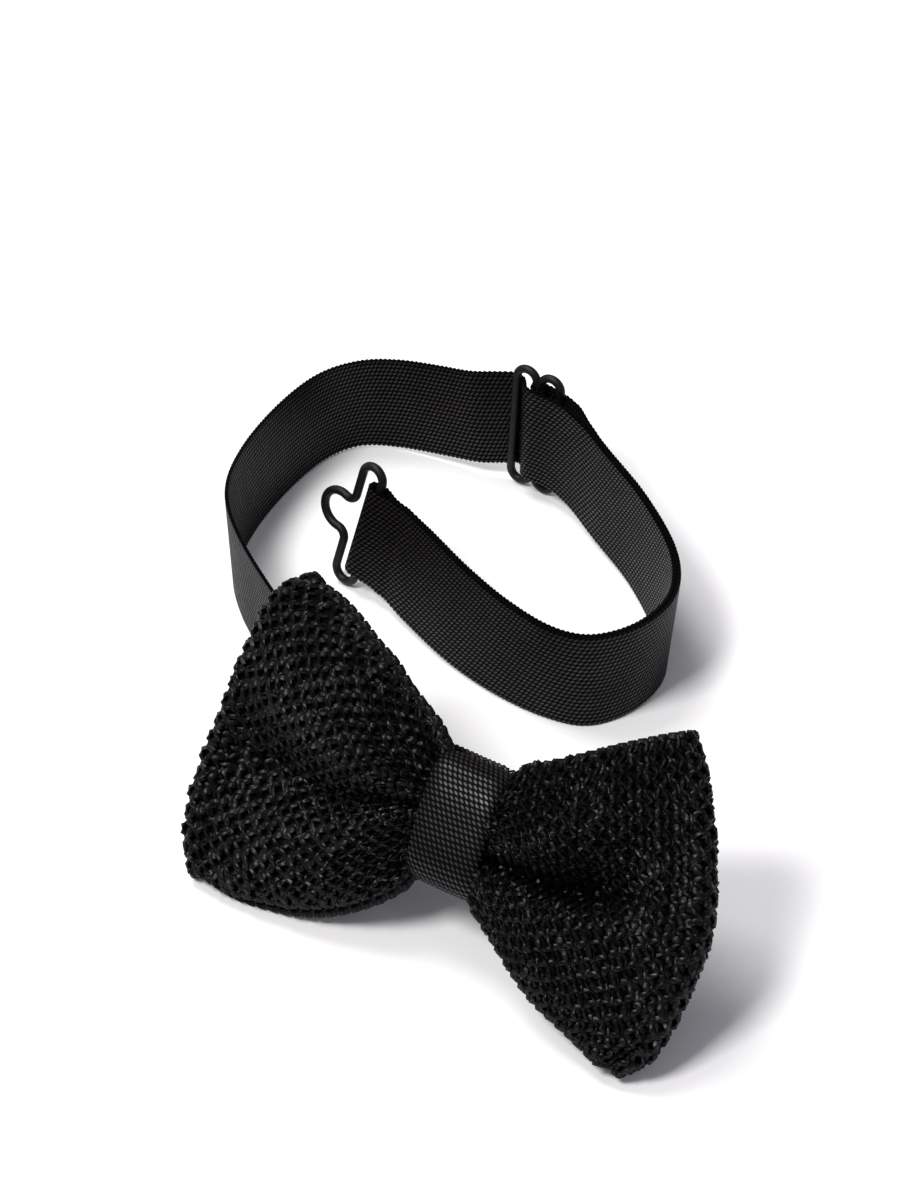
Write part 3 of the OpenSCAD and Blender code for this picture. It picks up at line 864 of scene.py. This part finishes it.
# ---- operators --------------------------------------------------------------
class BOWTIE_OT_knot(bpy.types.Operator):
    """Wrap the knot and fill it with the gathered, tied waist"""

    bl_idname = "bowtie.knot"
    bl_label = "Knot"

    def execute(self, context):
        line = TapeLine()
        turn = np.linspace(0, math.tau, 361)
        power = 0.62
        half_up, half_out = 12.85, 7.7
        up = half_up * np.sign(np.cos(turn)) * np.abs(np.cos(turn)) ** power
        out = half_out * np.sign(np.sin(turn)) * np.abs(np.sin(turn)) ** (power * 1.15)
        tilt = math.radians(5)
        ring = np.stack([KNOT_AT[0] - up * math.tan(tilt), KNOT_AT[1] + up, out], 1)
        line.places = in_bow(ring)
        steps = np.linalg.norm(np.diff(line.places, axis=0), axis=1)
        line.run = np.r_[0, np.cumsum(steps)]
        line.keys = line.run
        line.widths = np.repeat([[math.cos(tilt), 0, 0]], len(ring), 0)
        line.headings = unit(np.gradient(line.places, axis=0))
        line.headings[[0, -1]] = unit(line.places[1] - line.places[-2])
        band = tape_piece("knot_wrap_band", line, 0, line.run[-1], half=8.1, rolled=-0.9,
                          turned=True)
        bm = bmesh.new()
        bm.from_mesh(band.data)
        ends = line.frame(np.array([0.0]))[0][0] * MM
        axis = Vector(line.headings[0])
        caps = [f for f in bm.faces
                if abs(f.normal.dot(axis)) > 0.9 and abs((f.calc_center_median()
                                                          - Vector(ends)).dot(axis)) < 2e-5]
        bmesh.ops.delete(bm, geom=caps, context="FACES_ONLY")
        bmesh.ops.remove_doubles(bm, verts=bm.verts, dist=0.00012)
        bm.to_mesh(band.data)
        bm.free()
        outward_faces(band)
        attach(band, "bow")
        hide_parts("knot_wrap")
        self.core()
        return {"FINISHED"}

    def core(self):
        """The knit's pleated middle and the thread wound round it."""
        bm = bmesh.new()
        bmesh.ops.create_cone(bm, cap_ends=True, segments=64, radius1=1, radius2=1, depth=14)
        bmesh.ops.subdivide_edges(bm, edges=[e for e in bm.edges if abs(
            e.verts[0].co.z - e.verts[1].co.z) > 1], cuts=8, use_grid_fill=True)

        def place(co):
            turn = np.arctan2(co[:, 1], co[:, 0])
            waist = 1 - 0.16 * np.exp(-(co[:, 2] / 2.6) ** 2)
            pleat = (1 + 0.07 * np.cos(16 * turn)) * waist
            return in_bow(KNOT_AT + np.stack(
                [co[:, 2], co[:, 0] * 10.6 * pleat, co[:, 1] * 5.9 * pleat], 1))

        # The core takes the backing's darker colour too: painted shade.
        core = outward_faces(finished(bm, "gathered_core", finish_for("backing"), place))
        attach(core, "bow")
        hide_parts("gathered_waist")
        bm = bmesh.new()
        for k in range(5):
            loop = [(math.cos(a) * 9.4, math.sin(a) * 5.3) for a in
                    np.linspace(0, math.tau, 33)[:-1]]
            ring = bmesh.ops.create_circle(bm, segments=32, radius=1)["verts"]
            for v, (y, z) in zip(ring, loop):
                v.co = Vector((k * 0.55 - 1.1, y, z))
        strand = finished(bm, "wound_waist_thread", finish_for("thread"),
                          lambda co: in_bow(KNOT_AT + co))
        thicken(strand, 0.0003)
        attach(strand, "bow")
        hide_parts("waist_thread")


def thicken(piece, radius):
    """Turns a piece of bare edges into round strands."""
    bpy.ops.object.select_all(action="DESELECT")
    piece.select_set(True)
    bpy.context.view_layer.objects.active = piece
    bpy.ops.object.convert(target="CURVE")
    piece.data.bevel_depth = radius
    piece.data.bevel_resolution = 2
    bpy.ops.object.convert(target="MESH")
    if "yarn" not in piece.data.uv_layers:
        piece.data.uv_layers.new(name="yarn")


class BOWTIE_OT_wings(bpy.types.Operator):
    """Knit both wings as folded strips of stitches over their cloth"""

    bl_idname = "bowtie.wings"
    bl_label = "Knitted wings"

    def execute(self, context):
        for side in ("left", "right"):
            add_wing(side)
        return {"FINISHED"}


# name, first and last key of the neck tape, bodies, two places on ROUTE, CAD nodes
TAPE_PIECES = [
    ("tape_from_knot", 0, 7, ("bow", "strap_left"), (3, 5), ("neck_tape_root", "neck_tape_left")),
    ("tape_far_side", 7, 11, ("strap_left", "strap_back"), (9.2, 10.9), ("neck_tape_back",)),
    ("tape_before_adjuster", 11, 12.85, ("strap_back", "slider"), (11, 12.85), ()),
    ("tape_threaded", 12.85, 14.4, ("slider",), (), ("tape_in_adjuster",)),
    ("tape_after_adjuster", 14.4, 16.2, ("slider", "strap_back"), (14.4, 16.2), ()),
    ("tape_corner", 16.2, 18, ("strap_back", "strap_right"), (16.3, 17.7), ("neck_tape_corner",)),
    ("tape_right_bend", 18, 20, ("strap_right", "strap_near"), (18.2, 19.8),
     ("neck_tape_right",)),
    ("tape_near_bend", 20, 22.5, ("strap_near", "strap_front"), (20.1, 21.9),
     ("neck_tape_near",)),
    ("tape_hook_end", 22.5, 32.5, ("strap_front",), (),
     ("neck_tape_front", "return_tape_front", "hook_fold")),
    ("return_near_bend", 32.5, 35, ("strap_near", "strap_front"), (20.1, 21.9),
     ("return_tape_near",)),
    ("return_right_bend", 35, 37, ("strap_right", "strap_near"), (18.2, 19.8),
     ("return_tape_right",)),
    ("return_corner", 37, 38.8, ("strap_back", "strap_right"), (16.3, 17.7),
     ("return_tape_corner",)),
    ("return_to_adjuster", 38.8, 40.6, ("slider", "strap_back"), (14.4, 16.2), ()),
    ("return_sewn_end", 40.6, 43, ("slider",), (), ("return_end",)),
]


class BOWTIE_OT_tapes(bpy.types.Operator):
    """Lay the neck tape and the short tape with the eye"""

    bl_idname = "bowtie.tapes"
    bl_label = "Tapes"

    def execute(self, context):
        line = neck_tape_line()
        self.lay(line, ROUTE, TAPE_PIECES)
        tab = tab_tape_line()
        self.lay(tab, TAB, [("tab_from_knot", 0, 3.5, ("bow", "tab"), (1.35, 2.8),
                             ("tab_tape_root", "tab_tape_end")),
                            ("tab_eye_end", 3.5, 5, ("tab",), (), ("tab_fold",))])
        return {"FINISHED"}

    def lay(self, line, points, stretches):
        for name, first, last, bodies, places, nodes in stretches:
            start, end = line.run_at(first), line.run_at(last)
            piece = tape_piece(name, line, start, end)
            if len(bodies) == 1:
                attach(piece, bodies[0])
            else:
                low, high = (spline(points, np.array([u]))[0, :3] * MM for u in places)
                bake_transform(piece)
            if nodes:
                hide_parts(*nodes)
            "folded" if "end" in name.split("_") else "stretched"


def context_tape():
    return bpy.context.scene.bow_tie_tape


class BOWTIE_OT_sewing(bpy.types.Operator):
    """Sew the tape's ends and close the wrap with rows of thread"""

    bl_idname = "bowtie.sewing"
    bl_label = "Sewing"

    def execute(self, context):
        neck, tab = neck_tape_line(), tab_tape_line()
        width = 10
        root = 0.35
        self.row("root_stitches", "root_tack", "bow", neck, neck.run_at(root), -1, width, 11, 3)
        self.row("tab_stitches", "tab_tack", "bow", tab, tab.run_at(root), 1, width, 11, 3)
        self.row("hook_stitches", "hook_tack", "strap_front", neck, neck.run_at(27.86), 1,
                 width, 13, 1.7)
        self.row("return_stitches", "return_tack", "slider", neck, neck.run_at(40.95), 1,
                 width, 13, 1.7)
        self.row("eye_stitches", "eye_tack", "tab", tab, tab.run_at(4.9), 1, width, 13, 1.5)
        bm = bmesh.new()
        for k in range(-3, 4):
            self.stitch(bm, Matrix.Translation((k * 2, 0, 0)) @ Matrix.Rotation(0.5, 4, "Z"), 1.4)
        at = KNOT_AT + np.array([-0.9, 13.35, -3.2])
        seam = outward_faces(finished(bm, "wrap_seam_stitches", finish_for("thread"),
                                      lambda co: in_bow(co + at)))
        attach(seam, "bow")
        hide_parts("wrap_seam")
        return {"FINISHED"}

    def stitch(self, bm, matrix, length):
        radius = bpy.context.scene.bow_tie_fittings.thread_radius / MM
        shape = Matrix.Diagonal((length / 2, radius, radius, 1))
        bmesh.ops.create_uvsphere(bm, u_segments=8, v_segments=10, radius=1,
                                  matrix=matrix @ shape @ Matrix.Rotation(math.pi / 2, 4, "Y"),
                                  calc_uvs=True)

    def row(self, name, node, body, line, run, side, half, count, length):
        """A row of count stitches across line at run, on one side of the tape."""
        bm = bmesh.new()
        bm.loops.layers.uv.new("yarn")
        for k in range(count):
            self.stitch(bm, Matrix.Translation((0, (2 * k / (count - 1) - 1) * half, 0)), length)
        thick = context_tape().thickness / MM / 2

        def place(co):
            middle, _, outward, width = line.frame(run + co[:, 0])
            bowed = 0.28 * (co[:, 0] / (length / 2)) ** 2
            lift = side * (thick + 0.08 + co[:, 2] - bowed)
            return middle + outward * lift[:, None] + width * co[:, 1:2]

        piece = outward_faces(finished(bm, name, finish_for("thread"), place))
        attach(piece, body)
        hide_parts(node)


class BOWTIE_OT_fittings(bpy.types.Operator):
    """Coat the wire hook, eye and adjuster"""

    bl_idname = "bowtie.fittings"
    bl_label = "Wire fittings"

    def execute(self, context):
        for node in ("hook", "eye", "adjuster"):
            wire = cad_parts[node]
            wire.data.materials.clear()
            wire.data.materials.append(finish_for("coated_wire"))
        return {"FINISHED"}


class BOWTIE_OT_stage(bpy.types.Operator):
    """Set the floor, the camera and the soft light"""

    bl_idname = "bowtie.stage"
    bl_label = "Stage"

    def execute(self, context):
        scene = context.scene
        stage = scene.bow_tie_stage
        bm = bmesh.new()
        bmesh.ops.create_grid(bm, x_segments=2, y_segments=2, size=4)
        floor = finished(bm, "floor", finish_for("floor"))
        floor.data.transform(Matrix.Translation((0, 0, cad_low.z - 0.0002)))
        camera = bpy.data.objects.new("camera", bpy.data.cameras.new("camera"))
        scene.collection.objects.link(camera)
        camera.data.lens = stage.focal_length
        camera.data.sensor_width = 36
        camera.data.clip_start, camera.data.clip_end = 0.01, 20
        back = Vector((0.4131, -0.6451, 0.6428))
        target = Vector((-0.0277, 0.0286, 0))
        camera.location = target + back * 0.7016
        camera.rotation_euler = back.to_track_quat("Z", "Y").to_euler()
        scene.camera = camera
        right = Vector((0.842, 0.539, 0))
        away = Vector((-0.539, 0.842, 0))
        for name, at, size, power in (
                ("key", -0.62 * right - 0.46 * away + Vector((0, 0, 1.18)), 0.38,
                 stage.key_power),
                ("top", -0.42 * right + 0.42 * away + Vector((0, 0, 1.25)), 0.6,
                 stage.key_power * 0.72)):
            lamp = bpy.data.objects.new(name, bpy.data.lights.new(name, "AREA"))
            lamp.data.shape = "SQUARE"
            lamp.data.size = size
            lamp.data.energy = power
            lamp.data.color = (1, 0.985, 0.97)
            lamp.location = at
            lamp.rotation_euler = (at - Vector((0, 0, 0.02))).to_track_quat("Z", "Y").to_euler()
            scene.collection.objects.link(lamp)
        world = bpy.data.worlds.new("surround")
        world.use_nodes = True
        sky = world.node_tree.nodes["Background"]
        sky.inputs["Color"].default_value = (0.93, 0.91, 1, 1)
        sky.inputs["Strength"].default_value = stage.sky
        scene.world = world
        scene.view_settings.view_transform = "Standard"
        return {"FINISHED"}


class BOWTIE_PT_panel(bpy.types.Panel):
    """The bow tie's pieces and settings"""

    bl_label = "Bow Tie"
    bl_idname = "BOWTIE_PT_panel"
    bl_space_type = "VIEW_3D"
    bl_region_type = "UI"
    bl_category = "Bow Tie"

    def draw(self, context):
        for settings in (context.scene.bow_tie_knit, context.scene.bow_tie_tape,
                         context.scene.bow_tie_fittings, context.scene.bow_tie_stage):
            box = self.layout.box()
            for name in settings.bl_rna.properties.keys():
                if name not in ("rna_type", "name"):
                    box.prop(settings, name)
        for operator in OPERATORS:
            self.layout.operator(operator.bl_idname)


OPERATORS = (BOWTIE_OT_stage, BOWTIE_OT_knot, BOWTIE_OT_wings, BOWTIE_OT_tapes, BOWTIE_OT_sewing,
             BOWTIE_OT_fittings)
SETTINGS = {"bow_tie_knit": KnitSettings, "bow_tie_tape": TapeSettings,
            "bow_tie_fittings": FittingSettings, "bow_tie_stage": StageSettings}


def register():
    for cls in (*SETTINGS.values(), *OPERATORS, BOWTIE_PT_panel):
        bpy.utils.register_class(cls)
    for name, group in SETTINGS.items():
        setattr(bpy.types.Scene, name, PointerProperty(type=group))


def unregister():
    for name in SETTINGS:
        delattr(bpy.types.Scene, name)
    for cls in (BOWTIE_PT_panel, *reversed(OPERATORS), *SETTINGS.values()):
        bpy.utils.unregister_class(cls)


def main():
    register()
    for operator in OPERATORS:
        group, name = operator.bl_idname.split(".")
        getattr(getattr(bpy.ops, group), name)()


if __name__ == "__main__":
    main()
